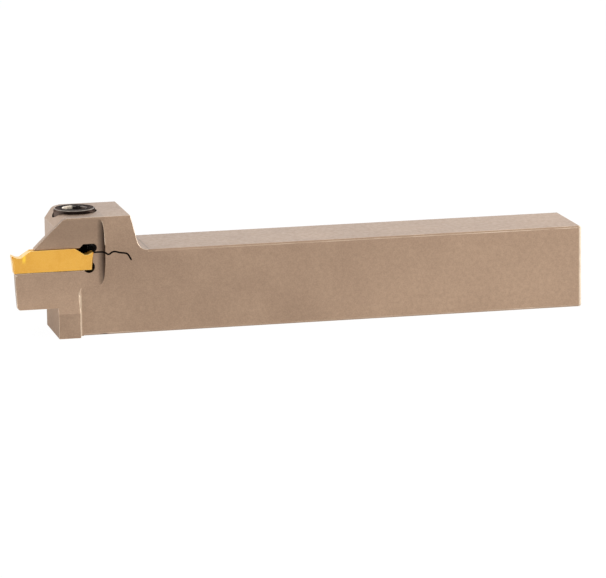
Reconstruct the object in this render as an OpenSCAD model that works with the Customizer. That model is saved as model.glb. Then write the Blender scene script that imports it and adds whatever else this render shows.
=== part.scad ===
// Face grooving tool holder: a square shank with a raised head, a curved blade and a clamped insert.
// X runs along the shank from the cutting edge to the rear end. Y runs across the shank, away from the
// concave side of the blade. Z is up. The origin is in the middle of the straight shank's underside.
// All lengths are in millimetres.

/* [Shank] */
// Height of the shank, and of the cutting edge above its underside
shank_h = 20; // [19:0.5:25]
// Width of the shank
shank_w = 20; // [18:0.5:25]
// Length of the tool from the cutting edge to the rear end
overall_l = 140; // [110:1:200]
// Bevel on the edges of the shank
shank_bevel = 0.4; // [0.2:0.1:0.8]

/* [Head] */
// Height of the head's top above the cutting edge
head_rise = 8.5; // [8:0.25:12]
// Distance from the cutting edge back to the front face of the head
head_setback = 10.45; // [9:0.05:11.5]
// Distance from the head's front face back to where its slope meets the top
slope_run = 2.25; // [1:0.05:3]
// Angle of the head's front slope, in degrees
slope_angle = 45; // [40:1:50]
// Length of the flat top of the head
head_top_l = 15.8; // [15:0.1:20]
// Lean of the head's rear face from upright, in degrees
head_lean = 14; // [5:1:30]
// Radius between the head's rear face and the shank
head_fillet = 2.6; // [1:0.1:4]
// Radius between the sloping front and the top of the head
brow_radius = 1.8; // [0.5:0.1:3]
// Bevel of the head's far front corner, seen from above
corner_bevel = 4.4; // [2:0.1:7]

/* [Blade] */
// Thickness of the blade below the insert
blade_t = 2.4; // [2.2:0.05:2.6]
// Thickness of the jaw above the insert, ahead of the head
jaw_t = 2.2; // [2.1:0.05:2.4]
// Depth of the blade below the cutting edge
blade_drop = 12.65; // [9:0.05:14]
// Distance from the cutting edge back to the front of the blade
blade_setback = 0.75; // [0.55:0.05:1.5]
// Radius of the blade's concave side
inner_radius = 30; // [26:0.5:40]
// Radius of the blade's convex side
outer_radius = 22; // [18:0.5:30]
// Depth of the concave side into the shank's side, at the height of the cutting edge
recess_depth = 1.1; // [0.9:0.05:1.4]
// Distance from the cutting edge back to the end of the concave side
recess_l = 22.25; // [20.9:0.05:26]
// Radius at the end of the concave side
recess_fillet = 1.2; // [0.5:0.1:1.4]
// How far the block under the blade stands out from the shank's side
block_proud = 2.4; // [2:0.1:4]
// Length of that block behind the head's front face
block_l = 5.2; // [4:0.1:7]
// Radius between the block and the shank's side
block_fillet = 1.1; // [0.4:0.1:1.6]
// Radius of the blade's lower front corner
blade_corner = 0.7; // [0.3:0.1:1.5]
// Bevel on the front edge of the insert's seat
seat_bevel = 0.3; // [0.1:0.05:0.45]

/* [Insert] */
// Width of the cutting edge
insert_w = 3; // [2.9:0.05:3.2]
// Width of the insert's middle
insert_waist = 2.7; // [2.6:0.05:2.8]
// Length of the insert over both cutting edges
insert_l = 19.6; // [18.6:0.1:20]
// Height of the insert's flat top above its underside
insert_h = 5.25; // [5.1:0.05:5.5]
// Height of the cutting edge above the insert's underside
insert_edge_h = 4.25; // [4:0.05:4.4]
// Clearance angle below each cutting edge, in degrees
end_clearance = 6; // [3:0.5:8]
// Clearance angle of the sides below each cutting edge, in degrees
side_clearance = 6; // [4:0.5:8]
// Distance from the cutting edge back to the end of the wide part
wide_l = 3.5; // [3:0.1:4]
// Radius of the cutting corners
nose_radius = 0.4; // [0.2:0.05:0.6]
// Depth of the chip former below the cutting edge
chip_depth = 0.6; // [0.3:0.05:0.7]
// Distance from the cutting edge to the bottom of the chip former
chip_l = 2; // [1.4:0.1:2.2]
// Slope of the ramp behind the chip former, in degrees
ramp_angle = 34; // [30:1:45]
// Half width of the lengthwise vee
vee_half = 0.6; // [0.45:0.05:0.7]
// Depth of the lengthwise vee
vee_depth = 0.4; // [0.2:0.05:0.5]
// Offset of the insert's middle from the shank's side
insert_inset = 2; // [1.95:0.05:2.1]
// Gap that is left beside the vees, so that only their flanks seat
vee_gap = 0.08; // [0.04:0.01:0.15]

/* [Clamping slit] */
// Width of the slit
slit_w = 0.3; // [0.2:0.05:0.4]
// Depth of the slit's start below the cutting edge
slit_drop = 0.15; // [0:0.05:0.3]
// Height of the relief above the slit
relief_h = 1.9; // [1.7:0.1:2]
// How far that relief reaches behind the insert
relief_back = 0.85; // [0.6:0.05:1.2]
// Length of that relief
relief_l = 4.1; // [3:0.1:4.5]
// Radius of the relief at the lower rear corner of the pocket
corner_relief = 1.36; // [0.8:0.02:1.6]

/* [Clamping screw] */
// Nominal thread diameter
screw_d = 6; // [5:0.5:6]
// Diameter of the screw head
screw_head_d = 10; // [8.5:0.1:10.2]
// Height of the screw head
screw_head_h = 6; // [5:0.1:6.2]
// Length of the screw under its head
screw_l = 16; // [14:1:18]
// Width across the flats of the hexagon socket
socket_w = 5; // [4:0.5:6]
// Depth of the hexagon socket
socket_depth = 3; // [2:0.1:4]
// How far the screw head stands above the head's top
screw_proud = 0.8; // [0.2:0.1:1]
// Gap between the screw head and its counterbore
counterbore_gap = 0.35; // [0.2:0.05:0.6]
// Gap between the screw and the hole through the jaw
through_gap = 0.3; // [0.1:0.05:0.5]
// Gap between the screw and the tapped hole
thread_gap = 0.05; // [0.02:0.01:0.1]
// Depth of the tapped hole past the screw's tip
tap_runout = 2; // [1:0.5:4]
// Distance from the cutting edge back to the screw
screw_setback = 16.8; // [16:0.1:17.5]
// Distance of the screw from the middle of the shank's width
screw_offset = 0; // [-1:0.1:1]

/* [Hidden] */
$fn = 96;

body_color = [0.62, 0.52, 0.44];
insert_color = [0.9, 0.68, 0.28];
screw_color = [0.2, 0.2, 0.21];

over = 1;                       // how far a cutting shape runs past the face it opens
arc_pieces = 8;                 // pieces in each rounded stretch of an outline
near_y = -shank_w / 2;          // shank side that carries the blade
far_y = shank_w / 2;
edge_z = shank_h;               // height of the cutting edge
top_z = edge_z + head_rise;     // top of the head
seat_z = edge_z - insert_edge_h;
jaw_z = seat_z + insert_h;
blade_z = edge_z - blade_drop;  // underside of the blade

// Distances back from the cutting edge
brow_u = head_setback + slope_run;             // where the front slope meets the head's top
jaw_tip_u = brow_u - (top_z - jaw_z) / tan(slope_angle);
head_rear_u = brow_u + head_top_l;
lean_run = head_rise * tan(head_lean);
heel_u = head_rear_u + lean_run;               // where the rear face would meet the shank
fillet_reach = head_fillet * tan((90 - head_lean) / 2);
shank_u = heel_u + fillet_reach;               // where the straight shank starts
shank_l = overall_l - shank_u;
tip_x = shank_l / 2 - overall_l;             // cutting edge
rear_x = shank_l / 2;                          // rear end

insert_y = near_y + insert_inset;              // middle plane of the insert
surface_y = near_y + recess_depth;             // concave side at the height of the cutting edge
inner_axis_y = surface_y - inner_radius;
outer_axis_y = surface_y + blade_t - outer_radius;
jaw_axis_y = surface_y + jaw_t - outer_radius;
rear_wall_u = insert_l;                        // pocket's rear wall at the height of the cutting edge
rear_foot_u = rear_wall_u - insert_edge_h * tan(end_clearance);
relief_end = rear_wall_u + relief_back;
slit_z = edge_z - slit_drop;

nose_h = 0.3;                                  // blunt tip of the jaw
counterbore_d = screw_head_d + 2 * counterbore_gap;
counterbore_z = top_z + screw_proud - screw_head_h;
screw_x = tip_x + screw_setback;
screw_tip_z = counterbore_z - screw_l;
tap_z = screw_tip_z - tap_runout;

// Point on a side view, from a distance back from the cutting edge and a height
function at(u, z) = [tip_x + u, z];

// Unit direction on a side or plan view
function way(angle) = [cos(angle), sin(angle)];

// Lays a side view, drawn as X and Z, across the shank from y0 to y1
module across(y0, y1) {
    translate([0, y1, 0])
        rotate([90, 0, 0])
            linear_extrude(y1 - y0) children();
}

// Lays a section, drawn as Y and Z, along the shank from x0 to x1
module along(x0, x1) {
    translate([x0, 0, 0])
        rotate([90, 0, 90])
            linear_extrude(x1 - x0) children();
}

// Points of the arc that rounds a corner. The two edges leave the corner in directions a and b, in
// degrees, with less than 180 from a to b, and the arc runs from the first edge to the second.
function corner_arc(corner, a, b, radius) =
    let (centre = corner + radius / sin((b - a) / 2) * way((a + b) / 2))
    [for (k = [0:arc_pieces]) centre + radius * way(a - 90 + (b - a - 180) * k / arc_pieces)];

// A list in the opposite order
function reversed(list) = [for (i = [len(list) - 1:-1:0]) list[i]];

// A side view of head and shank together
module body_profile() {
    front_z = top_z - slope_run * tan(slope_angle);
    polygon(concat(
        [at(head_setback, 0), at(head_setback, front_z)],
        corner_arc(at(brow_u, top_z), slope_angle - 180, 0, brow_radius),
        [at(head_rear_u, top_z)],
        reversed(corner_arc(at(heel_u, shank_h), 0, 90 + head_lean, head_fillet)),
        [at(overall_l, shank_h), at(overall_l, 0)]
    ));
}

// A view from above, with the bevelled far front corner
module body_plan() {
    polygon([
        [tip_x + head_setback, near_y],
        [tip_x + head_setback, far_y - corner_bevel],
        [tip_x + head_setback + corner_bevel, far_y],
        [rear_x - shank_bevel, far_y],
        [rear_x, far_y - shank_bevel],
        [rear_x, near_y + shank_bevel],
        [rear_x - shank_bevel, near_y]
    ]);
}

// The triangle that bevels a corner of a section. Signs a and b point out of the corner.
module bevel_triangle(corner, a, b) {
    polygon([
        corner + [-a * (shank_bevel + over), b * over],
        corner + [a * over, -b * (shank_bevel + over)],
        corner + [a * over, b * over]
    ]);
}

module shank_and_head() {
    start_x = tip_x + head_setback;
    difference() {
        intersection() {
            across(near_y, far_y) body_profile();
            linear_extrude(top_z) body_plan();
        }
        for (side = [-1, 1])
            along(tip_x + shank_u, rear_x + over) bevel_triangle([side * far_y, shank_h], side, 1);
        along(start_x + corner_bevel, rear_x + over) bevel_triangle([far_y, 0], 1, -1);
        along(start_x + block_l + block_fillet, rear_x + over) bevel_triangle([near_y, 0], -1, -1);
        across(near_y - over, far_y + over) {
            bevel_triangle([rear_x, shank_h], 1, 1);
            bevel_triangle([rear_x, 0], 1, -1);
        }
    }
}

// The block that carries the blade on the shank's side
module block() {
    front_x = tip_x + head_setback;
    rear_corner = [front_x + block_l, near_y];
    intersection() {
        linear_extrude(top_z)
            polygon(concat(
                [[front_x, near_y - block_proud], [front_x + block_l, near_y - block_proud]],
                corner_arc(rear_corner, -90, 0, block_fillet),
                [rear_corner + [block_fillet, over], [front_x, near_y + over]]
            ));
        across(near_y - block_proud - over, far_y) body_profile();
    }
}

// A disc as seen along the shank, with its edge on the far side of the blade
module arc_disc(axis_y, radius) {
    translate([axis_y, edge_z]) circle(radius, $fn = 192);
}

// The thin curved blade under the insert
module blade() {
    root_u = head_setback + over;
    floor_z = seat_z - vee_gap;
    intersection() {
        across(near_y - block_proud, far_y)
            polygon(concat(
                [at(root_u, floor_z), at(root_u, blade_z)],
                corner_arc(at(blade_setback, blade_z), 0, 90, blade_corner),
                [at(blade_setback, floor_z - seat_bevel), at(blade_setback + seat_bevel, floor_z)]
            ));
        along(tip_x, tip_x + root_u) arc_disc(outer_axis_y, outer_radius);
    }
}

// The thin jaw above the insert
module jaw() {
    root_u = head_setback + over;
    intersection() {
        across(near_y - block_proud, far_y) polygon([
            at(jaw_tip_u + nose_h, jaw_z),
            at(jaw_tip_u + nose_h, jaw_z + nose_h * tan(slope_angle)),
            at(root_u, jaw_z + (root_u - jaw_tip_u) * tan(slope_angle)),
            at(root_u, jaw_z)
        ]);
        along(tip_x, tip_x + root_u) arc_disc(jaw_axis_y, outer_radius);
    }
}

// The concave side: a cylinder about an axis beside the shank, with a rounded end
module inner_curve() {
    straight = recess_l - recess_fillet + over;
    translate([tip_x - over, inner_axis_y, edge_z])
        rotate([0, 90, 0]) {
            cylinder(h = straight, r = inner_radius, $fn = 192);
            cylinder(h = recess_l + over, r = inner_radius - recess_fillet, $fn = 192);
            translate([0, 0, straight])
                rotate_extrude($fn = 192)
                    translate([inner_radius - recess_fillet, 0]) circle(recess_fillet);
        }
}

// Points of the slit's middle line, as a chain of straight runs and arcs
slit_steps = [[2.45, 0], [1, -45], [0.6, 90], [1.4, -55], [4, -10], [3, 12], [1, 0], [1.3, -54], [1.05, 0]];
slit_start = [relief_end - relief_h / 2, slit_z];

// Each step is [length, 0] for a straight run, or [radius, turn] for an arc
function step_length(step) = step[1] == 0 ? step[0] : step[0] * abs(step[1]) * PI / 180;
function step_pieces(step) = step[1] == 0 ? 1 : arc_pieces;
function slit_heads(i, heading) =
    i == len(slit_steps) ? [] :
    let (step = slit_steps[i], n = step_pieces(step))
    concat(
        [for (k = [0:n - 1]) [step_length(step) / n, heading + step[1] * (k + 0.5) / n]],
        slit_heads(i + 1, heading + step[1])
    );
slit_moves = slit_heads(0, 0);
function slit_points(i = 0, point = slit_start) =
    i == len(slit_moves) ? [point] :
    concat([point], slit_points(i + 1, point + slit_moves[i][0] * way(slit_moves[i][1])));
slit_path = slit_points();
function slit_angle(i) = slit_moves[min(i, len(slit_moves) - 1)][1] / 2 + slit_moves[max(i - 1, 0)][1] / 2;

module slit_profile() {
    last = len(slit_path) - 1;
    half = slit_w / 2;
    end_angle = slit_angle(last);
    translate([tip_x, 0])
        polygon(concat(
            [for (i = [0:last]) slit_path[i] + half * way(slit_angle(i) + 90)],
            [for (turn = [60:-30:-60]) slit_path[last] + half * way(end_angle + turn)],
            [for (i = [last:-1:0]) slit_path[i] - half * way(slit_angle(i) + 90)]
        ));
}

// The pocket for the insert, the reliefs at its rear and the slit that lets the jaw close
module pocket_profile() {
    relief_top = slit_z + slit_w / 2 + relief_h;
    ramp = relief_top - jaw_z;
    polygon([
        at(-over, seat_z - vee_gap),
        at(rear_foot_u, seat_z - vee_gap),
        at(rear_wall_u, edge_z),
        at(rear_wall_u, jaw_z + vee_gap),
        at(-over, jaw_z + vee_gap)
    ]);
    translate(at(rear_foot_u - corner_relief / 2, seat_z + corner_relief / 2))
        circle(corner_relief, $fn = 48);
    polygon([
        at(relief_end - relief_l, jaw_z),
        at(relief_end - relief_l + ramp, relief_top),
        at(relief_end - relief_h / 2, relief_top),
        at(relief_end - relief_h / 2, relief_top - relief_h),
        at(rear_wall_u - relief_l / 2, relief_top - relief_h)
    ]);
    translate(at(relief_end - relief_h / 2, relief_top - relief_h / 2)) circle(relief_h / 2, $fn = 48);
    slit_profile();
}

// Section of the ridges that enter the insert's lengthwise vees. Its root lies inside the blade or jaw.
module ridge_section(z, up) {
    slope = vee_half / vee_depth;
    blunt = 0.75 * vee_depth;
    foot = vee_half + vee_gap * slope;
    crest = vee_half - blunt * slope;
    root = -vee_gap - blunt;
    translate([insert_y, z])
        scale([1, up])
            polygon([
                [-foot, root], [foot, root], [foot, -vee_gap],
                [crest, blunt], [-crest, blunt], [-foot, -vee_gap]
            ]);
}

module ridges() {
    seat_end = rear_foot_u - 1.5 * corner_relief;
    jaw_start = jaw_tip_u + nose_h + vee_depth;
    jaw_end = relief_end - relief_l;
    along(tip_x + blade_setback + seat_bevel, tip_x + seat_end) ridge_section(seat_z, 1);
    along(tip_x + jaw_start, tip_x + jaw_end) ridge_section(jaw_z, -1);
}

module screw_holes() {
    translate([screw_x, screw_offset, 0]) {
        translate([0, 0, counterbore_z]) cylinder(h = screw_head_h + over, d = counterbore_d);
        translate([0, 0, jaw_z - over])
            cylinder(h = counterbore_z - jaw_z + 2 * over, d = screw_d + 2 * through_gap);
        translate([0, 0, tap_z])
            cylinder(h = jaw_z - tap_z, d = screw_d + 2 * thread_gap);
    }
}

module holder_body() {
    color(body_color) {
        difference() {
            union() {
                shank_and_head();
                block();
                blade();
                jaw();
            }
            inner_curve();
            across(near_y - block_proud - over, far_y + over) pocket_profile();
            screw_holes();
        }
        ridges();
    }
}

// Side view of the insert, the same from both ends
module insert_profile() {
    land = nose_radius / 2;
    dip = chip_depth / 8;
    dip_u = 0.6 * chip_l;
    floor_h = insert_edge_h - chip_depth;
    ramp_run = (insert_h - floor_h - dip) / tan(ramp_angle);
    half = [
        [insert_edge_h * tan(end_clearance), 0],
        [0, insert_edge_h],
        [land, insert_edge_h],
        [dip_u, floor_h + dip],
        [chip_l, floor_h],
        [chip_l + land, floor_h + dip],
        [chip_l + land + ramp_run, insert_h]
    ];
    other = [for (i = [len(half) - 1:-1:0]) [insert_l - half[i][0], half[i][1]]];
    translate([tip_x, seat_z]) polygon(concat(half, other));
}

// The insert from above, with its rounded cutting corners
module insert_plan() {
    wide = insert_w / 2;
    nose = [for (a = [90:-15:0]) [nose_radius * (1 - sin(a)), wide - nose_radius * (1 - cos(a))]];
    far_side = concat(nose, [for (i = [len(nose) - 1:-1:0]) [insert_l - nose[i][0], nose[i][1]]]);
    near_side = [for (i = [len(far_side) - 1:-1:0]) [far_side[i][0], -far_side[i][1]]];
    translate([tip_x, insert_y]) polygon(concat(far_side, near_side));
}

// Section of the wide ends, which close in downwards until they meet the sides of the middle
module wide_section() {
    wide = insert_w / 2;
    foot = wide - insert_edge_h * tan(side_clearance);
    polygon([
        [-foot, 0], [foot, 0], [wide, insert_edge_h], [wide, insert_h], [-wide, insert_h], [-wide, insert_edge_h]
    ]);
}

// The body of the insert in front view, without its vees
module insert_sides() {
    translate([0, insert_y, seat_z]) {
        along(tip_x, tip_x + insert_l)
            translate([-insert_waist / 2, 0]) square([insert_waist, insert_h]);
        for (end = [0, 1])
            translate([tip_x + end * insert_l, 0, 0])
                mirror([end, 0, 0])
                    intersection() {
                        along(0, insert_l / 2) wide_section();
                        shoulders();
                    }
    }
}

// The wide end narrows to the middle by an oblique facet on each side
module shoulders() {
    facet_angle = 11;
    facet_lean = 16;
    reach = wide_l + insert_waist / 2 / tan(facet_angle);
    spread = insert_w;
    translate([0, 0, insert_edge_h])
        rotate([0, facet_lean, 0])
            translate([0, 0, -2 * insert_h])
                linear_extrude(4 * insert_h)
                    polygon([
                        [reach, 0], [reach - spread / tan(facet_angle), spread], [-reach, spread],
                        [-reach, -spread], [reach - spread / tan(facet_angle), -spread]
                    ]);
}

// The lengthwise vees above and below
module insert_vees() {
    translate([insert_y, seat_z]) {
        polygon([[-vee_half, 0], [-vee_half, -over], [vee_half, -over], [vee_half, 0], [0, vee_depth]]);
        polygon([
            [-vee_half, insert_h], [0, insert_h - vee_depth], [vee_half, insert_h],
            [vee_half, insert_h + over], [-vee_half, insert_h + over]
        ]);
    }
}

module grooving_insert() {
    color(insert_color)
        difference() {
            intersection() {
                across(insert_y - insert_w, insert_y + insert_w) insert_profile();
                translate([0, 0, seat_z]) linear_extrude(insert_h) insert_plan();
                insert_sides();
            }
            along(tip_x - over, tip_x + insert_l + over) insert_vees();
        }
}

module clamp_screw() {
    rim = 0.5;
    point = 0.8;
    head_r = screw_head_d / 2;
    color(screw_color) {
        translate([screw_x, screw_offset, counterbore_z]) difference() {
            rotate_extrude() polygon([
                [0, -screw_l],
                [screw_d / 2 - point, -screw_l],
                [screw_d / 2, -screw_l + point],
                [screw_d / 2, 0],
                [head_r, 0],
                [head_r, screw_head_h - rim],
                [head_r - rim, screw_head_h],
                [0, screw_head_h]
            ]);
            translate([0, 0, screw_head_h - socket_depth])
                cylinder(h = socket_depth + over, d = socket_w / cos(30), $fn = 6);
        }
    }
}

holder_body();
grooving_insert();
clamp_screw();
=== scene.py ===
import math

import bmesh
import bpy
from bpy.props import FloatProperty, FloatVectorProperty, IntProperty, PointerProperty
from mathutils import Matrix, Vector


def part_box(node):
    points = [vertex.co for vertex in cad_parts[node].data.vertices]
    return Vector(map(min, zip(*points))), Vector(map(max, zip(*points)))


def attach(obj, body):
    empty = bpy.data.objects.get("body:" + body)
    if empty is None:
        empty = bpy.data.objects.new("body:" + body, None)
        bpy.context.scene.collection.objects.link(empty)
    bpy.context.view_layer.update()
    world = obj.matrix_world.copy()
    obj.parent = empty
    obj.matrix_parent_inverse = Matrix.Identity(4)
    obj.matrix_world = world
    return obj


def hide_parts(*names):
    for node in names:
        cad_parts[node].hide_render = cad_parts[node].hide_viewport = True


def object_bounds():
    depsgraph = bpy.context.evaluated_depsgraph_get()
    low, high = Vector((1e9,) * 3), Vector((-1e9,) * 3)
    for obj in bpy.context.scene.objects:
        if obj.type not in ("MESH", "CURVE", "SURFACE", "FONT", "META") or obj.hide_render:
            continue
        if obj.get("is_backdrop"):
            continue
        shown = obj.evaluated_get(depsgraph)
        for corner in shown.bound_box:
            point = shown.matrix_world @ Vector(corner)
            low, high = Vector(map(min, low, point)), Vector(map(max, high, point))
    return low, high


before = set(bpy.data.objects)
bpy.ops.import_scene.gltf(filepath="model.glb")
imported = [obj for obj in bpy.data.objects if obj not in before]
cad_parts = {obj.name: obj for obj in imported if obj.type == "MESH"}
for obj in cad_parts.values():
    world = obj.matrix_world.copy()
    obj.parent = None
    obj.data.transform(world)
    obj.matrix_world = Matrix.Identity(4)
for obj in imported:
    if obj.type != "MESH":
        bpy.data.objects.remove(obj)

bl_info = {
    "name": "Face Grooving Tool Holder",
    "version": (1, 0, 0),
    "blender": (4, 5, 0),
    "location": "3D View > Sidebar > Tool Holder",
    "description": "Dresses the holder body, the grooving insert and the clamping screw, and sets the stage",
    "category": "Object",
}

MM = 0.001

# The cutting edge, the shank's near side and the screw, in the frame
TIP_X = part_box("grooving_insert")[0].x
SIDE_Y = -10 * MM
SCREW_LOW, SCREW_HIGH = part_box("clamp_screw")

# Places on the tool, in millimetres from the cutting edge (U), the near side (Y) or the floor (Z)
INSERT_Y = (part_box("grooving_insert")[0].y - SIDE_Y) / MM
SCREW_U = ((SCREW_LOW.x + SCREW_HIGH.x) / 2 - TIP_X) / MM
SCREW_Z = SCREW_HIGH.z / MM
END_U = (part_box("holder_body")[1].x - TIP_X) / MM

# The foot of the head on the shank, the insert's front end, and the reach of the pocket, reliefs and slit
FOOT_U = 32.6
FRONT_U = 5
CUT_U = (12, 29)
CUT_Z = (14, 22.2)

# Edges that turn by more degrees than these are rounded, or are corners between two walls. The ridges of the
# knurl turn by less than the screw's own angle and stay whole.
ROUNDED_TURN = 30
CORNER_TURN = 60
SCREW_TURN = 62

# Slots of each piece's materials: its finish, its edges, lighter in places from use and as a painted
# highlight, and its cut, ground or broached faces, whose colours carry painted shade or a painted highlight
FINISH = 0
EDGE = 1
CUT = 2

# Bands of painted light, painted shade and painted highlights on the holder body. Each limit is an axis, the
# two places in millimetres between which the amount changes, and the amounts there, which are 0 and 1 where
# none are given. X counts from the cutting edge, Y from the near side and Z from the floor.
PAINTED_LIGHT_BANDS = {
    # Painted light, paler towards the rear end of the shank
    "painted_light_rear": (("X", 20, END_U, 0, 0.5),),
    "jaw_shade": (("X", 22.4, 22.2), ("Y", -0.02, 0.02), ("Z", 20.5, 24, 0, 0.4)),
    # Painted shade, a dark lens at the rear end of the recess
    "painted_shade_recess": (
        ("X", 20.5, 21.8, 0, 0.82),
        ("X", 22.55, 22.1, 0.3, 1),
        ("X", 22.6, 22.55),
        ("Y", 0.005, 0.12),
        ("Y", 1.6, 1.5),
        ("Z", 28.4, 28.2),
    ),
    # Painted shade low on the front of the block, under the blade
    "painted_shade_under_blade": (("X", 10.6, 10.5), ("Z", 8, 2, 0, 0.2)),
    # Painted shade, a dark line along the crease at the head's foot on the shank's top
    "painted_shade_foot_line": (
        ("X", FOOT_U + 0.1, FOOT_U + 0.3, 0, 0.45),
        ("X", FOOT_U + 0.6, FOOT_U + 0.4),
        ("Z", 19.9, 19.96),
    ),
    # Painted light on the head's front above the jaw
    "painted_light_front": (("X", 14, 12, 0, 0.42), ("Y", 1.2, 1.8), ("Z", 20, 21)),
    # Painted highlight along the block's rear edge
    "painted_highlight_block_edge": (("X", 15.5, 15.64, 0, 0.45), ("X", 16.4, 15.95), ("Y", -0.02, -0.08), ("Z", 10.9, 9.6)),
    # Painted glint on the front corner of the seat under the insert
    "painted_glint_seat_corner": (("X", 1.35, 1.15, 0, 0.8), ("Y", 0.8, 0.6), ("Z", 15, 15.15), ("Z", 15.55, 15.4)),
    # Painted highlight along the edge at the rear end
    "painted_highlight_end_edge": (("X", END_U - 0.75, END_U - 0.5, 0, 0.8), ("Y", 0.42, 0.38)),
    # Painted shade in the reflection on the front of the block, under the blade
    "painted_shade_block_front": (("X", 10.6, 10.5), ("Z", 9, 8)),
}

# A painted highlight on the insert at the foot of the ramp, in the same form
INSERT_FACET_HIGHLIGHT = (
    ("X", 2.4, 2.65, 0, 0.9),
    ("X", 3.4, 3.1),
    ("Y", INSERT_Y + 0.3, INSERT_Y + 0.22),
    ("Z", 17.9, 18.9),
)

# Parts of the body whose edges are broken by their own share of the full width: from and to along the shank,
# from and to in height, and the share. The first that an edge lies in counts. Behind the head's foot the
# share grows from FOOT_SHARE to 1, and elsewhere it is PLAIN_SHARE.
EDGE_SHARES = (
    (CUT_U, (14.5, 22.2), 0),
    ((20, 24), (9, 14.6), 0),
    ((28, FOOT_U), (20, math.inf), 1),
    ((-math.inf, 13), (22, math.inf), 0.15),
)
FOOT_SHARE = 0.15
PLAIN_SHARE = 0.4

# Size of each lamp and its place from the middle of the tool, in metres
LAMPS = {
    "key": ((0.9, 0.9), (-0.6, -0.6, 0.65)),
    "fill": ((0.4, 0.3), (0.62, -0.17, 0.18)),
    "back": ((1.2, 0.5), (0.3, 1.25, 0.42)),
}

# The camera's place and the directions of its right side and its top
CAMERA_PLACE = Vector((-228.008, -937.1, 195.987)) * MM
CAMERA_RIGHT = Vector((0.974198, -0.225321, -0.012985))
CAMERA_UP = Vector((0.056044, 0.185779, 0.980992))


def linear(red, green, blue):
    """A colour given as 0 to 255, as the numbers that a shader takes"""
    parts = [c / 255 for c in (red, green, blue)]
    return tuple(c / 12.92 if c <= 0.04045 else ((c + 0.055) / 1.055) ** 2.4 for c in parts)


def colour(name, description, default):
    """A colour setting"""
    return FloatVectorProperty(
        name=name, description=description, subtype="COLOR", size=3, min=0, max=1, default=default
    )


def length(name, description, default):
    """A length setting, given in millimetres"""
    return FloatProperty(
        name=name, description=description, subtype="DISTANCE", unit="LENGTH", precision=5,
        min=0, default=default * MM,
    )


def share(name, description, default):
    """A setting between 0 and 1"""
    return FloatProperty(name=name, description=description, subtype="FACTOR", min=0, max=1, default=default)


def power(name, description, default):
    """A lamp's power, in watts"""
    return FloatProperty(name=name, description=description, unit="POWER", min=0, default=default)


class HolderBodySettings(bpy.types.PropertyGroup):
    """Size of the broken edges and look of the satin coating on the holder body"""

    edge_round: length("Broken edge", "Largest width of the rounding along the sharp edges", 0.12)
    # The chamfer's dark colour is painted shade along the pocket and the slit
    mouth: length("Slit mouth", "Width of the dark chamfer along the pocket and the slit", 0.06)
    coating: colour("Coating", "Colour of the satin coating", linear(170, 143, 120))
    coating_dark: colour("Darker coating", "Colour of its darker patches", linear(154, 128, 107))
    # Lighter edges, partly from use and partly a painted highlight
    worn_and_highlit: colour("Worn edge", "Colour along the worn edges", linear(244, 222, 198))
    # Colour of the painted highlights on the block's rear edge, the seat's front corner and the rear end
    bright: colour("Bare edge", "Colour where the coating is rubbed through", linear(255, 240, 214))
    # Colour of the painted shade in the recess, under the blade and along the head's foot, and of the cut
    # walls, where it is partly their own stain
    residue_and_shade: colour("Residue", "Colour of the dark film in the recess and the pocket", linear(38, 27, 21))
    roughness: share("Roughness", "Middle roughness of the coating", 0.38)
    grain: length("Grain", "Size of the fine grain", 0.32)
    grain_depth: length("Grain depth", "Height of the fine grain", 0.006)


class InsertSettings(bpy.types.PropertyGroup):
    """Size of the honed edges and look of the hard coating on the grooving insert"""

    edge_round: length("Honed edge", "Width of the rounding along the edges", 0.06)
    corner: length("Corner", "Width of the ground corners at both ends", 0.2)
    coating: colour("Coating", "Colour of the hard coating", linear(228, 170, 69))
    coating_dark: colour("Darker coating", "Colour of its darker patches", linear(222, 162, 61))
    # Lighter edges, front face and ramp, partly honing and partly a painted highlight
    honed_and_highlit: colour("Honed edge colour", "Colour along the honed edges", linear(255, 224, 140))
    # A darker colour on the rounded corners, which paints their shade
    nose: colour("Nose", "Colour of the ground nose radius", linear(214, 134, 28))
    # Colour of the painted highlight at the foot of the ramp
    facet: colour("Ramp foot", "Colour of the polished facet at the foot of the ramp", linear(255, 208, 62))
    roughness: share("Roughness", "Middle roughness of the coating", 0.36)
    grain: length("Grain", "Size of the sintered grain", 0.22)
    grain_depth: length("Grain depth", "Height of the sintered grain", 0.004)


class ClampScrewSettings(bpy.types.PropertyGroup):
    """Sizes and look of the clamping screw"""

    thread_d: length("Thread diameter", "Outer diameter of the thread", 6)
    thread_pitch: length("Thread pitch", "Rise of the thread in one turn", 1)
    head_h: length("Head height", "Height of the screw head", 6)
    socket_w: length("Socket width", "Width across the flats of the hexagon socket", 5)
    socket_depth: length("Socket depth", "Depth of the hexagon socket", 3)
    rim: length("Rim", "Size of the bevel round the top of the head", 0.5)
    edge_round: length("Broken edge", "Width of the rounding along the sharp edges", 0.05)
    knurl_depth: length("Knurl depth", "Depth of the grooves in the side of the head", 0.14)
    knurl_ribs: IntProperty(name="Knurl ribs", description="Ribs round the head", min=12, default=60)
    steel: colour("Steel", "Colour of the blackened steel", linear(46, 36, 32))
    # Colour of the painted grey reflection at the front and rear of the head and of the painted light in the
    # socket
    painted_reflection: colour("Rubbed steel", "Colour of the steel where the head is rubbed grey", linear(124, 108, 100))
    # Colour of the painted highlight high on the socket's front wall
    broached_and_highlit: colour("Bare socket", "Colour of the bare steel in the socket", linear(240, 226, 206))
    # Colour of the painted highlight along the head's top rim
    bare_and_highlit: colour("Bare edge", "Colour along the rubbed edges", linear(190, 180, 168))
    roughness: share("Roughness", "Middle roughness of the blackened steel", 0.36)


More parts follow.
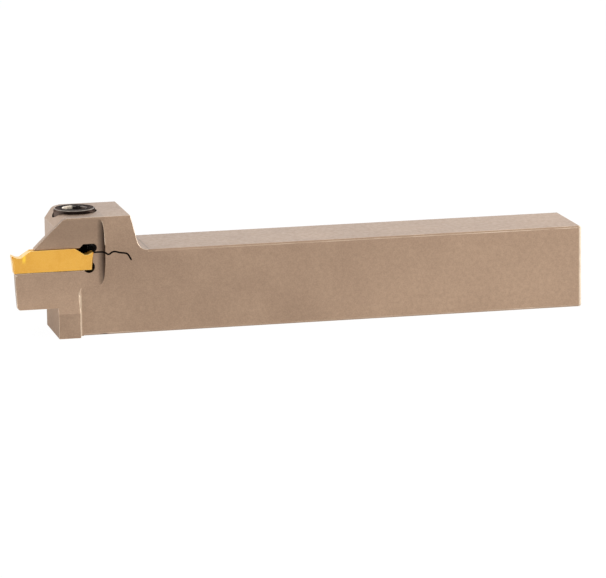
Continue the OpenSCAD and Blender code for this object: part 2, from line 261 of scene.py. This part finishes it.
class StageSettings(bpy.types.PropertyGroup):
    """Floor, light and camera"""

    floor_size: FloatProperty(
        name="Floor size", description="Side of the floor", subtype="DISTANCE", unit="LENGTH", default=40
    )
    floor: colour("Floor", "Colour of the floor", (0.9, 0.9, 0.9))
    floor_glow: share("Floor white", "How much of the floor's white is its own", 0.95)
    room: share("Room light", "Strength of the light from all round", 0.7)
    key: power("Key light", "Power of the large lamp above", 5)
    fill: power("Fill light", "Power of the lamp at the front", 3)
    back: power("Back light", "Power of the lamp behind", 0.5)
    lens: FloatProperty(name="Lens", description="Focal length in millimetres", min=1, default=239.805)


def new_material(name):
    """An empty material, its node tree and the shader at its end"""
    material = bpy.data.materials.new(name)
    material.use_nodes = True
    tree = material.node_tree
    tree.nodes.clear()
    output = tree.nodes.new("ShaderNodeOutputMaterial")
    shader = tree.nodes.new("ShaderNodeBsdfPrincipled")
    tree.links.new(shader.outputs["BSDF"], output.inputs["Surface"])
    return material, tree, shader


def node(tree, kind, settings=None, **inputs):
    """A node with settings and with values or links for its inputs"""
    made = tree.nodes.new(kind)
    for name, value in (settings or {}).items():
        setattr(made, name, value)
    for name, value in inputs.items():
        socket = made.inputs[name.replace("_", " ")]
        if isinstance(value, bpy.types.NodeSocket):
            tree.links.new(value, socket)
        else:
            socket.default_value = value
    return made


def surface_point(tree, stretch=(1, 1, 1)):
    """The place on the surface, squeezed or stretched along each axis"""
    place = tree.nodes.new("ShaderNodeTexCoord")
    return node(tree, "ShaderNodeMapping", Vector=place.outputs["Object"], Scale=stretch).outputs["Vector"]


def place_levels(tree, axis, low, high, to_low=0, to_high=1):
    """A value that changes between two places on the tool, given as PAINTED_LIGHT_BANDS gives them"""
    start = {"X": TIP_X, "Y": SIDE_Y, "Z": 0}[axis]
    place = tree.nodes.new("ShaderNodeTexCoord")
    split = node(tree, "ShaderNodeSeparateXYZ", Vector=place.outputs["Object"])
    return levels(tree, split.outputs[axis], start + low * MM, start + high * MM, to_low, to_high)


def maths(tree, operation, first, second):
    """Two values worked into one"""
    step = node(tree, "ShaderNodeMath", {"operation": operation})
    tree.links.new(first, step.inputs[0])
    tree.links.new(second, step.inputs[1])
    return step.outputs[0]


def product(tree, *values):
    """Several values multiplied"""
    result = values[0]
    for value in values[1:]:
        result = maths(tree, "MULTIPLY", result, value)
    return result


def band(tree, limits):
    """How much of a band lies at each place"""
    return product(tree, *[place_levels(tree, *limit) for limit in limits])


def clouds(tree, size, detail=3, roughness=0.55, stretch=(1, 1, 1)):
    """Noise with features of a size in metres, as a value round 0.5"""
    noise = node(
        tree, "ShaderNodeTexNoise",
        Vector=surface_point(tree, stretch), Scale=1 / size, Detail=detail, Roughness=roughness,
    )
    return noise.outputs["Fac"]


def levels(tree, value, low, high, to_low, to_high):
    """A value taken from one range to another and kept inside it"""
    return node(
        tree, "ShaderNodeMapRange", {"clamp": True},
        Value=value, From_Min=low, From_Max=high, To_Min=to_low, To_Max=to_high,
    ).outputs["Result"]


def blend_colours(tree, amount, first, second):
    """One colour turning into another"""
    mix = tree.nodes.new("ShaderNodeMix")
    mix.data_type = "RGBA"
    for socket, value in ((0, amount), (6, first), (7, second)):
        if isinstance(value, bpy.types.NodeSocket):
            tree.links.new(value, mix.inputs[socket])
        else:
            mix.inputs[socket].default_value = tuple(value) + (1,) if socket else value
    return mix.outputs[2]


def shaded(shade, factor):
    """A colour made lighter or darker, up to full white"""
    return [min(1, part * factor) for part in shade]


def layered(tree, ground, layers):
    """A colour with layers over it, each given by its amount and its colour"""
    for amount, shade in layers:
        ground = blend_colours(tree, amount, ground, shade)
    return ground


def bumps(tree, height, depth, strength=1, under=None):
    """Bump from a height map, over another bump if there is one"""
    bump = node(tree, "ShaderNodeBump", Height=height, Distance=depth, Strength=strength)
    if under is not None:
        tree.links.new(under, bump.inputs["Normal"])
    return bump.outputs["Normal"]


def satin_coating_painted_light(name, settings):
    """A satin coating on ground steel, with soft patches, fine grain and grinding marks, and with painted
    light, painted shade and painted highlights in places
    """
    material, tree, shader = new_material(name)
    light, dark = settings.coating, settings.coating_dark
    patches = levels(tree, clouds(tree, 14 * MM, 4), 0.35, 0.65, 0, 1)
    mottle = levels(tree, clouds(tree, 1.1 * MM, 3), 0.3, 0.7, 0, 1)
    grain = clouds(tree, settings.grain, 2)
    marks = clouds(tree, 0.35 * MM, 2, stretch=(0.03, 1, 1))
    painted_bands = {place: band(tree, limits) for place, limits in PAINTED_LIGHT_BANDS.items()}
    # Over the coating's own patches and grain lie painted light, painted shade and painted highlights
    layers = (
        (patches, light),
        (painted_bands["painted_light_rear"], shaded(light, 1.34)),
        (levels(tree, mottle, 0, 1, 0, 0.4), shaded(dark, 0.93)),
        (levels(tree, grain, 0.5, 0.25, 0, 0.28), shaded(dark, 0.72)),
        (levels(tree, grain, 0.48, 0.75, 0, 0.34), shaded(light, 1.25)),
        (painted_bands["jaw_shade"], shaded(dark, 0.7)),
        (painted_bands["painted_shade_recess"], settings.residue_and_shade),
        (painted_bands["painted_shade_under_blade"], settings.residue_and_shade),
        (painted_bands["painted_shade_foot_line"], settings.residue_and_shade),
        (painted_bands["painted_light_front"], shaded(light, 1.5)),
        (painted_bands["painted_highlight_block_edge"], settings.bright),
        (painted_bands["painted_glint_seat_corner"], settings.bright),
        (painted_bands["painted_highlight_end_edge"], settings.bright),
    )
    tree.links.new(layered(tree, dark, layers), shader.inputs["Base Color"])
    # Painted shade in the reflection: a darker specular tint on the front of the block
    sheen = blend_colours(tree, painted_bands["painted_shade_block_front"], (1, 1, 1), (0.8, 0.66, 0.55))
    tree.links.new(sheen, shader.inputs["Specular Tint"])
    shader.inputs["Metallic"].default_value = 0.75
    rough = levels(tree, mottle, 0, 1, settings.roughness - 0.04, settings.roughness + 0.06)
    tree.links.new(rough, shader.inputs["Roughness"])
    ground = bumps(tree, marks, 0.5 * settings.grain_depth, 0.5)
    tree.links.new(bumps(tree, grain, settings.grain_depth, 0.7, under=ground), shader.inputs["Normal"])
    return material


def worn_highlit_edge(name, bare_and_highlit, coated, roughness, metallic=0.8, sheen=1, kept_from=None):
    """An edge where the finish is thin in places and lighter, partly from use and partly as a painted
    highlight. Just behind kept_from along the tool the finish is mostly whole.
    """
    material, tree, shader = new_material(name)
    shader.inputs["Specular Tint"].default_value = (sheen, sheen, sheen, 1)
    wear_and_highlight = levels(tree, clouds(tree, 2.2 * MM, 4, 0.65, stretch=(0.3, 1, 1)), 0.3, 0.65, 0, 1)
    if kept_from is not None:
        kept = band(tree, (("X", kept_from - 0.6, kept_from), ("X", END_U, kept_from, 0, 0.85)))
        wear_and_highlight = product(tree, wear_and_highlight, levels(tree, kept, 0, 1, 1, 0))
    tree.links.new(blend_colours(tree, wear_and_highlight, coated, bare_and_highlit), shader.inputs["Base Color"])
    shader.inputs["Metallic"].default_value = metallic
    tree.links.new(levels(tree, wear_and_highlight, 0, 1, roughness, roughness - 0.1), shader.inputs["Roughness"])
    tree.links.new(bumps(tree, clouds(tree, 0.25 * MM, 2), 0.002 * MM, 0.5), shader.inputs["Normal"])
    return material


def cut_surface_and_shade(name, residue_and_shade):
    """A wire-cut or drilled wall, darkened partly by heat and old oil and partly as painted shade in the
    narrow cuts and gaps it lines
    """
    material, tree, shader = new_material(name)
    stains = levels(tree, clouds(tree, 1.4 * MM, 3), 0.35, 0.7, 0, 1)
    tree.links.new(blend_colours(tree, stains, shaded(residue_and_shade, 0.35), residue_and_shade), shader.inputs["Base Color"])
    shader.inputs["Metallic"].default_value = 0.2
    tree.links.new(levels(tree, stains, 0, 1, 0.75, 0.55), shader.inputs["Roughness"])
    shader.inputs["Specular IOR Level"].default_value = 0.2
    tree.links.new(bumps(tree, clouds(tree, 0.2 * MM, 2), 0.01 * MM, 0.7), shader.inputs["Normal"])
    return material


def gold_coating_painted_highlight(name, settings):
    """A gold-toned hard coating over fine sintered grain, with a painted highlight at the foot of the ramp"""
    material, tree, shader = new_material(name)
    patches = levels(tree, clouds(tree, 3.5 * MM, 3), 0.35, 0.65, 0, 1)
    grain = clouds(tree, settings.grain, 2)
    layers = (
        (patches, settings.coating),
        # Painted highlight at the foot of the ramp
        (band(tree, INSERT_FACET_HIGHLIGHT), settings.facet),
        (levels(tree, grain, 0.35, 0.7, 0, 0.12), settings.honed_and_highlit),
    )
    tree.links.new(layered(tree, settings.coating_dark, layers), shader.inputs["Base Color"])
    shader.inputs["Metallic"].default_value = 0.65
    rough = levels(tree, patches, 0, 1, settings.roughness + 0.05, settings.roughness - 0.03)
    tree.links.new(rough, shader.inputs["Roughness"])
    tree.links.new(bumps(tree, grain, settings.grain_depth, 0.7), shader.inputs["Normal"])
    return material


def black_oxide_painted_reflection(name, settings):
    """Blackened steel with a thin film of oil, with a painted grey reflection at the front and rear of the
    screw's head
    """
    material, tree, shader = new_material(name)
    patches = levels(tree, clouds(tree, 1.8 * MM, 4), 0.35, 0.7, 0, 1)
    # Painted grey reflection at the rear and the front of the head's side
    layers = (
        (patches, settings.steel),
        (place_levels(tree, "X", SCREW_U + 2.6, SCREW_U + 3.6, 0, 0.35), settings.painted_reflection),
        (place_levels(tree, "X", SCREW_U - 3, SCREW_U - 4.6, 0, 0.75), settings.painted_reflection),
    )
    tree.links.new(layered(tree, shaded(settings.steel, 0.6), layers), shader.inputs["Base Color"])
    shader.inputs["Metallic"].default_value = 0.85
    rough = levels(tree, patches, 0, 1, settings.roughness - 0.06, settings.roughness + 0.08)
    tree.links.new(rough, shader.inputs["Roughness"])
    shader.inputs["Specular Tint"].default_value = shaded(settings.steel, 7) + [1]
    tree.links.new(bumps(tree, clouds(tree, 0.3 * MM, 3), 0.004 * MM, 0.6), shader.inputs["Normal"])
    return material


def socket_steel_painted_highlight(name, settings):
    """Broached steel in the screw's socket, dark, with a painted highlight high on the wall at the front and
    painted light on the wall at the rear
    """
    material, tree, shader = new_material(name)
    # Painted highlight high on the socket's front wall
    worn_and_highlit = product(
        tree,
        band(tree, (("X", SCREW_U + 0.1, SCREW_U - 0.4), ("Z", SCREW_Z - 0.9, SCREW_Z - 0.6))),
        levels(tree, clouds(tree, 0.9 * MM, 2), 0.3, 0.45, 0.6, 1),
    )
    layers = (
        # Painted light on the socket's rear wall
        (place_levels(tree, "X", SCREW_U + 1.7, SCREW_U + 2.3, 0, 0.6), settings.painted_reflection),
        (worn_and_highlit, settings.broached_and_highlit),
    )
    tree.links.new(layered(tree, shaded(settings.steel, 0.5), layers), shader.inputs["Base Color"])
    shader.inputs["Metallic"].default_value = 0.35
    tree.links.new(levels(tree, worn_and_highlit, 0, 1, 0.45, 0.28), shader.inputs["Roughness"])
    tree.links.new(bumps(tree, clouds(tree, 0.15 * MM, 2), 0.004 * MM, 0.5), shader.inputs["Normal"])
    return material


def finished_object(name, shape, materials):
    """An object at the origin from a bmesh, linked to the scene"""
    mesh = bpy.data.meshes.new(name)
    shape.to_mesh(mesh)
    shape.free()
    for material in materials:
        mesh.materials.append(material)
    made = bpy.data.objects.new(name, mesh)
    bpy.context.scene.collection.objects.link(made)
    return made


def break_edges(piece, width, angle=ROUNDED_TURN, method="ANGLE"):
    """Rounds the edges of a piece that turn by more than an angle, or each by the weight given to it"""
    bevel = piece.modifiers.new("broken edges", "BEVEL")
    bevel.affect = "EDGES"
    bevel.offset_type = "OFFSET"
    bevel.width = width
    bevel.segments = 2
    bevel.profile = 0.5
    bevel.limit_method = method
    bevel.angle_limit = math.radians(angle)
    bevel.use_clamp_overlap = False
    bevel.miter_outer = "MITER_SHARP"
    # The rounded edges take the edge material, with its painted highlight
    bevel.material = EDGE
    bevel.harden_normals = True


def turns_by(edge, angle):
    """Whether an edge's two faces turn by more than an angle in degrees"""
    return edge.is_manifold and edge.calc_face_angle(0) > math.radians(angle)


def sharpen(mesh, angle):
    """Shades a mesh smooth, but for the edges that turn by an angle in degrees or more"""
    for face in mesh.faces:
        face.smooth = True
    for edge in mesh.edges:
        edge.smooth = edge.is_manifold and edge.calc_face_angle(0) < math.radians(angle)


def merged_copy(name):
    """A copy of a CAD node's mesh with its points merged and its flat faces whole"""
    mesh = bmesh.new()
    mesh.from_mesh(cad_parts[name].data)
    bmesh.ops.remove_doubles(mesh, verts=mesh.verts, dist=0.0005 * MM)
    bmesh.ops.dissolve_limit(
        mesh, angle_limit=math.radians(0.5), verts=mesh.verts, edges=mesh.edges,
        use_dissolve_boundaries=False, delimit={"NORMAL"},
    )
    for face in mesh.faces:
        face.material_index = FINISH
    sharpen(mesh, 8)
    return mesh


def within(value, limits):
    """Whether a value lies between two others"""
    return limits[0] < value < limits[1]


def body_edge_share(u, z):
    """How wide an edge of the holder body is broken, as a share of the full width"""
    for along, upwards, width in EDGE_SHARES:
        if within(u, along) and within(z, upwards):
            return width
    if u > FOOT_U:
        return FOOT_SHARE + (1 - FOOT_SHARE) * (u - FOOT_U) / (END_U - FOOT_U)
    return PLAIN_SHARE


def chamfer(mesh, edges, width):
    """Cuts edges back by a width. The new faces take the cut slot's darker material, which paints shade on
    them.
    """
    made = bmesh.ops.bevel(
        mesh, geom=edges, offset=width, offset_type="OFFSET",
        affect="EDGES", segments=1, profile=0.5, material=-1,
    )
    for face in made["faces"]:
        face.material_index = CUT


def chamfer_and_shade_mouths(mesh, width):
    """Chamfers the mouths of the wire-cut pocket, reliefs and slit, and gives the chamfers the dark cut
    material as painted shade that widens the gaps
    """
    mouths = []
    for edge in mesh.edges:
        slots = {face.material_index for face in edge.link_faces}
        if slots == {FINISH, CUT} and turns_by(edge, CORNER_TURN):
            mouths.append(edge)
    chamfer(mesh, mouths, width)


def weigh_body_edges(mesh):
    """Gives every sharp edge of the holder body its share of the rounding"""
    weight = mesh.edges.layers.float.new("bevel_weight_edge")
    for edge in mesh.edges:
        if turns_by(edge, ROUNDED_TURN):
            middle = (edge.verts[0].co + edge.verts[1].co) / 2
            edge[weight] = body_edge_share((middle.x - TIP_X) / MM, middle.z / MM)


def mark_wire_cut(mesh):
    """Gives the walls of the wire-cut pocket, reliefs and slit their own dark material, partly their finish
    and partly painted shade deep in the cuts
    """
    for face in mesh.faces:
        middle = face.calc_center_median()
        inside = within((middle.x - TIP_X) / MM, CUT_U) and within(middle.z / MM, CUT_Z)
        if inside and abs(face.normal.y) < 0.3:
            face.material_index = CUT


def shade_counterbore(mesh):
    """Gives the wall round the screw's head the look of the wire-cut walls, as painted shade in the gap round
    the head
    """
    middle = (SCREW_LOW + SCREW_HIGH) / 2
    clearance = 0.5 * MM
    reach = (SCREW_HIGH.x - SCREW_LOW.x) / 2 + clearance
    for face in mesh.faces:
        place = face.calc_center_median() - middle
        in_bore = place.xy.length < reach and place.z > 0 and abs(face.normal.z) < 0.3
        if in_bore and face.material_index == FINISH:
            face.material_index = CUT


class FACEGROOVER_OT_holder_body(bpy.types.Operator):
    """Dress the holder body with broken edges and its satin coating"""

    bl_idname = "facegroover.holder_body"
    bl_label = "Holder body"

    def execute(self, context):
        settings = context.scene.holder_body
        coating = satin_coating_painted_light("bronze_coating", settings)
        edge = worn_highlit_edge(
            "worn_bronze_edge", settings.worn_and_highlit, settings.coating, settings.roughness, kept_from=FOOT_U + 0.4
        )
        cut = cut_surface_and_shade("dark_wire_cut", settings.residue_and_shade)
        mesh = merged_copy("holder_body")
        mark_wire_cut(mesh)
        weigh_body_edges(mesh)
        chamfer_and_shade_mouths(mesh, settings.mouth)
        shade_counterbore(mesh)
        body = finished_object("holder_body_dressed", mesh, [coating, edge, cut])
        break_edges(body, settings.edge_round, method="WEIGHT")
        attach(body, "root")
        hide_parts("holder_body")
        return {"FINISHED"}


def mark_insert(mesh):
    """Gives the insert's rounded corners a darker material, which paints shade on them, and its front face
    and its ramp the lighter edge material, which paints a highlight on them
    """
    for face in mesh.faces:
        sideways = abs(face.normal.y)
        if within(sideways, (0.2, 0.98)) and abs(face.normal.x) > 0.2 and abs(face.normal.z) < 0.3:
            face.material_index = CUT
        at_front = face.calc_center_median().x < TIP_X + FRONT_U * MM
        if at_front and sideways < 0.2 and (face.normal.x < -0.9 or face.normal.z > 0.3):
            face.material_index = EDGE


def upright_corners(mesh):
    """The upright edges between two walls"""
    found = []
    for edge in mesh.edges:
        run = (edge.verts[0].co - edge.verts[1].co).normalized()
        if abs(run.z) > 0.9 and turns_by(edge, CORNER_TURN):
            found.append(edge)
    return found


class FACEGROOVER_OT_grooving_insert(bpy.types.Operator):
    """Dress the grooving insert with honed edges and its hard coating"""

    bl_idname = "facegroover.grooving_insert"
    bl_label = "Grooving insert"

    def execute(self, context):
        settings = context.scene.grooving_insert
        coating = gold_coating_painted_highlight("gold_hard_coating", settings)
        edge = worn_highlit_edge(
            "honed_gold_edge", settings.honed_and_highlit, settings.coating, settings.roughness, metallic=0.7
        )
        # The nose's darker colour paints the shade of its rounded corners
        nose = worn_highlit_edge(
            "ground_nose", settings.nose, settings.nose, settings.roughness + 0.2, metallic=0.4, sheen=0.12
        )
        mesh = merged_copy("grooving_insert")
        mark_insert(mesh)
        chamfer(mesh, upright_corners(mesh), settings.corner)
        insert = finished_object("grooving_insert_dressed", mesh, [coating, edge, nose])
        break_edges(insert, settings.edge_round)
        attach(insert, "root")
        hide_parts("grooving_insert")
        return {"FINISHED"}


def place_ring(verts, height, radius):
    """Sets points round the screw's axis. The radius may be a number or a function of the angle."""
    for vert in verts:
        angle = math.atan2(vert.co.y, vert.co.x)
        reach = radius(angle) if callable(radius) else radius
        vert.co = Vector((reach * math.cos(angle), reach * math.sin(angle), height))


def turned(mesh, segments, rings):
    """A turned shape, ring after ring. Returns the edges of the first and of the last ring."""
    verts = bmesh.ops.create_circle(mesh, cap_ends=False, radius=1, segments=segments)["verts"]
    place_ring(verts, *rings[0])
    first = list({edge for vert in verts for edge in vert.link_edges})
    last = first
    for height, radius in rings[1:]:
        grown = bmesh.ops.extrude_edge_only(mesh, edges=last)["geom"]
        verts = {part for part in grown if isinstance(part, bmesh.types.BMVert)}
        edges = [part for part in grown if isinstance(part, bmesh.types.BMEdge)]
        last = [edge for edge in edges if verts.issuperset(edge.verts)]
        place_ring(verts, height, radius)
    return first, last


def hexagon(width):
    """The radius of a hexagon of a width across its flats, as a function of the angle"""
    side = math.radians(60)
    return lambda angle: width / 2 / math.cos((angle % side) - side / 2)


def knurl(radius, depth, ribs):
    """The radius of a ribbed circle, as a function of the angle"""
    return lambda angle: radius - depth * (0.5 - 0.5 * math.cos(angle * ribs))


def screw_rings(settings, head_r, head_top):
    """Height and radius of each ring of the screw, from the shaft's point to the bottom of the socket"""
    rim = settings.rim
    shaft_r = settings.thread_d / 2 - 0.55 * settings.thread_pitch
    seat = head_top - settings.head_h
    ribbed = knurl(head_r, settings.knurl_depth, settings.knurl_ribs)
    neck_r = head_r - 0.3 * settings.knurl_depth
    socket = hexagon(settings.socket_w)
    return [
        (0, 0.6 * shaft_r),
        (0.5 * rim, shaft_r),
        (seat - 0.2 * rim, shaft_r),
        (seat, settings.thread_d / 2),
        (seat, head_r - 0.4 * rim),
        (seat + 0.4 * rim, ribbed),
        (head_top - 1.3 * rim, ribbed),
        (head_top - 1.1 * rim, neck_r),
        (head_top - 0.6 * rim, neck_r),
        (head_top - 0.3 * rim, head_r - 0.4 * rim),
        (head_top, head_r - 0.7 * rim),
        (head_top, socket(0) + 0.15 * rim),
        (head_top - 0.35 * rim, lambda angle: socket(angle) + 0.02 * MM),
        (head_top - settings.socket_depth, socket),
    ]


def drill_socket(mesh, ring, width):
    """Closes the socket with a narrower floor that runs into the drill's point"""
    floor = bmesh.ops.edgeloop_fill(mesh, edges=ring)["faces"]
    bmesh.ops.inset_region(mesh, faces=floor, thickness=0.12 * width)
    point = bmesh.ops.poke(mesh, faces=floor)["verts"]
    bmesh.ops.translate(mesh, verts=point, vec=(0, 0, -0.28 * width))


def screw_thread(mesh, settings, height):
    """A helical ridge on the shaft, with closed ends, up to a height"""
    pitch = settings.thread_pitch
    crest = settings.thread_d / 2
    root = crest - 0.6 * pitch
    half_foot = 0.42 * pitch
    half_crest = 0.15 * half_foot
    steps_per_turn = 36
    steps = int((height / pitch - 1) * steps_per_turn)
    corners = ((root, -half_foot), (crest, -half_crest), (crest, half_crest), (root, half_foot))
    first = mesh.faces.new([mesh.verts.new((reach, 0, pitch / 2 + z)) for reach, z in corners])
    bmesh.ops.spin(
        mesh, geom=[first] + list(first.edges) + list(first.verts), cent=(0, 0, 0), axis=(0, 0, 1),
        dvec=(0, 0, pitch / steps_per_turn), angle=steps * 2 * math.pi / steps_per_turn, steps=steps,
        use_merge=False, use_duplicate=False,
    )


def blunt_point(mesh, crest, height):
    """Cuts the thread back in a cone at the shaft's lower end"""
    for vert in mesh.verts:
        reach = vert.co.xy.length
        most = crest - height + vert.co.z
        if vert.co.z < height and reach > most:
            vert.co.xy *= most / reach


def mark_screw(mesh, settings, head_top):
    """Gives the walls of the socket their material with its painted highlight, and the head's top bevel the
    lighter edge material, a painted highlight round the rim
    """
    mouth_r = hexagon(settings.socket_w)(0) + 0.16 * settings.rim
    socket_z = (head_top - 0.99 * settings.socket_depth, math.inf)
    bevel_z = (head_top - 0.3 * settings.rim, head_top - 0.01 * MM)
    for face in mesh.faces:
        middle = face.calc_center_median()
        reach = middle.xy.length
        if reach < mouth_r and within(middle.z, socket_z):
            face.material_index = CUT
        if reach > mouth_r and within(middle.z, bevel_z):
            face.material_index = EDGE


class FACEGROOVER_OT_clamp_screw(bpy.types.Operator):
    """Make the clamping screw with its knurled head, hexagon socket and thread"""

    bl_idname = "facegroover.clamp_screw"
    bl_label = "Clamping screw"

    def execute(self, context):
        settings = context.scene.clamp_screw
        head_r = (SCREW_HIGH.x - SCREW_LOW.x) / 2
        head_top = SCREW_HIGH.z - SCREW_LOW.z
        axis = (SCREW_LOW + SCREW_HIGH) / 2
        mesh = bmesh.new()
        rings = screw_rings(settings, head_r, head_top)
        tip_ring, socket_ring = turned(mesh, settings.knurl_ribs * 4, rings)
        bmesh.ops.edgeloop_fill(mesh, edges=tip_ring)
        drill_socket(mesh, socket_ring, settings.socket_w)
        screw_thread(mesh, settings, head_top - settings.head_h)
        blunt_point(mesh, settings.thread_d / 2, 1.6 * settings.rim)
        bmesh.ops.recalc_face_normals(mesh, faces=mesh.faces)
        mark_screw(mesh, settings, head_top)
        bmesh.ops.translate(mesh, verts=mesh.verts, vec=(axis.x, axis.y, SCREW_LOW.z))
        sharpen(mesh, 28)
        steel = black_oxide_painted_reflection("black_oxide_steel", settings)
        broached_and_highlit = socket_steel_painted_highlight("broached_steel", settings)
        edge = worn_highlit_edge(
            "rubbed_steel_edge", settings.bare_and_highlit, settings.steel, settings.roughness, metallic=0.9
        )
        screw = finished_object("clamp_screw_dressed", mesh, [steel, edge, broached_and_highlit])
        break_edges(screw, settings.edge_round, angle=SCREW_TURN)
        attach(screw, "root")
        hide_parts("clamp_screw")
        return {"FINISHED"}


def seen_as_background(tree):
    """1 for what the camera sees straight, by reflection or through glass"""
    ray = tree.nodes.new("ShaderNodeLightPath")
    seen = maths(tree, "MAXIMUM", ray.outputs["Is Camera Ray"], ray.outputs["Is Glossy Ray"])
    return maths(tree, "MAXIMUM", seen, ray.outputs["Is Transmission Ray"])


def by_view(tree, lighting, background):
    """One shader for what lights the tool, and another for what is seen behind it"""
    choice = tree.nodes.new("ShaderNodeMixShader")
    tree.links.new(seen_as_background(tree), choice.inputs[0])
    tree.links.new(lighting, choice.inputs[1])
    tree.links.new(background, choice.inputs[2])
    return choice.outputs[0]


def studio_floor(settings):
    """The pale floor, which keeps the object's shadow and shows white behind it"""
    mesh = bmesh.new()
    bmesh.ops.create_grid(mesh, x_segments=1, y_segments=1, size=settings.floor_size / 2)
    material = bpy.data.materials.new("studio_floor")
    material.use_nodes = True
    tree = material.node_tree
    tree.nodes.clear()
    output = tree.nodes.new("ShaderNodeOutputMaterial")
    paint = node(tree, "ShaderNodeBsdfDiffuse", Color=tuple(settings.floor) + (1,))
    shadowed = [part * (1 - settings.floor_glow) for part in settings.floor]
    thin_paint = node(tree, "ShaderNodeBsdfDiffuse", Color=tuple(shadowed) + (1,))
    over_white = 0.02
    glow = node(tree, "ShaderNodeEmission", Color=(1, 1, 1, 1), Strength=settings.floor_glow + over_white)
    both = tree.nodes.new("ShaderNodeAddShader")
    tree.links.new(thin_paint.outputs[0], both.inputs[0])
    tree.links.new(glow.outputs[0], both.inputs[1])
    tree.links.new(by_view(tree, paint.outputs[0], both.outputs[0]), output.inputs["Surface"])
    return finished_object("studio_floor", mesh, [material])


def studio_room(scene, settings):
    """Even light from all round, seen as white"""
    world = bpy.data.worlds.new("studio_room")
    scene.world = world
    world.use_nodes = True
    tree = world.node_tree
    tree.nodes.clear()
    output = tree.nodes.new("ShaderNodeOutputWorld")
    light = node(tree, "ShaderNodeBackground", Color=(1, 1, 1, 1), Strength=settings.room)
    white = node(tree, "ShaderNodeBackground", Color=(1, 1, 1, 1), Strength=1)
    tree.links.new(by_view(tree, light.outputs[0], white.outputs[0]), output.inputs["Surface"])


def soft_lamp(name, strength, size, place, target):
    """A large rectangular lamp that faces a point"""
    lamp = bpy.data.lights.new(name, "AREA")
    lamp.shape = "RECTANGLE"
    lamp.size, lamp.size_y = size
    lamp.energy = strength
    made = bpy.data.objects.new(name, lamp)
    made.location = place
    made.rotation_euler = (target - place).to_track_quat("-Z", "Y").to_euler()
    bpy.context.scene.collection.objects.link(made)


def photo_camera(settings):
    """The camera at the photograph's angle"""
    data = bpy.data.cameras.new("photo_camera")
    data.sensor_width = 36
    data.lens = settings.lens
    data.clip_start = 0.01
    data.clip_end = 100
    made = bpy.data.objects.new("photo_camera", data)
    turn = Matrix((CAMERA_RIGHT, CAMERA_UP, CAMERA_RIGHT.cross(CAMERA_UP))).transposed().to_4x4()
    made.matrix_world = Matrix.Translation(CAMERA_PLACE) @ turn
    bpy.context.scene.collection.objects.link(made)
    return made


class FACEGROOVER_OT_stage(bpy.types.Operator):
    """Set the floor, the soft light and the camera"""

    bl_idname = "facegroover.stage"
    bl_label = "Stage"

    def execute(self, context):
        scene = context.scene
        settings = scene.tool_stage
        studio_floor(settings)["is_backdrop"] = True
        studio_room(scene, settings)
        low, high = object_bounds()
        middle = (low + high) / 2
        for name, (size, offset) in LAMPS.items():
            soft_lamp(name + "_lamp", getattr(settings, name), size, middle + Vector(offset), middle)
        scene.camera = photo_camera(settings)
        scene.view_settings.view_transform = "Standard"
        return {"FINISHED"}


class FACEGROOVER_PT_sidebar(bpy.types.Panel):
    """Pieces of the tool holder and their settings"""

    bl_idname = "FACEGROOVER_PT_sidebar"
    bl_label = "Face Grooving Tool Holder"
    bl_space_type = "VIEW_3D"
    bl_region_type = "UI"
    bl_category = "Tool Holder"

    def draw(self, context):
        for group, operator in GROUPS:
            box = self.layout.box()
            settings = getattr(context.scene, group)
            for name in settings.__annotations__:
                box.prop(settings, name)
            box.operator(operator.bl_idname)


GROUPS = (
    ("holder_body", FACEGROOVER_OT_holder_body),
    ("grooving_insert", FACEGROOVER_OT_grooving_insert),
    ("clamp_screw", FACEGROOVER_OT_clamp_screw),
    ("tool_stage", FACEGROOVER_OT_stage),
)

SETTINGS = {
    "holder_body": HolderBodySettings,
    "grooving_insert": InsertSettings,
    "clamp_screw": ClampScrewSettings,
    "tool_stage": StageSettings,
}

CLASSES = tuple(SETTINGS.values()) + tuple(operator for _, operator in GROUPS) + (FACEGROOVER_PT_sidebar,)


def register():
    for cls in CLASSES:
        bpy.utils.register_class(cls)
    for name, group in SETTINGS.items():
        setattr(bpy.types.Scene, name, PointerProperty(type=group))


def unregister():
    for name in SETTINGS:
        delattr(bpy.types.Scene, name)
    for cls in reversed(CLASSES):
        bpy.utils.unregister_class(cls)


def main():
    register()
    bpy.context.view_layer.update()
    bpy.ops.facegroover.holder_body()
    bpy.ops.facegroover.grooving_insert()
    bpy.ops.facegroover.clamp_screw()
    bpy.ops.facegroover.stage()


if __name__ == "__main__":
    main()
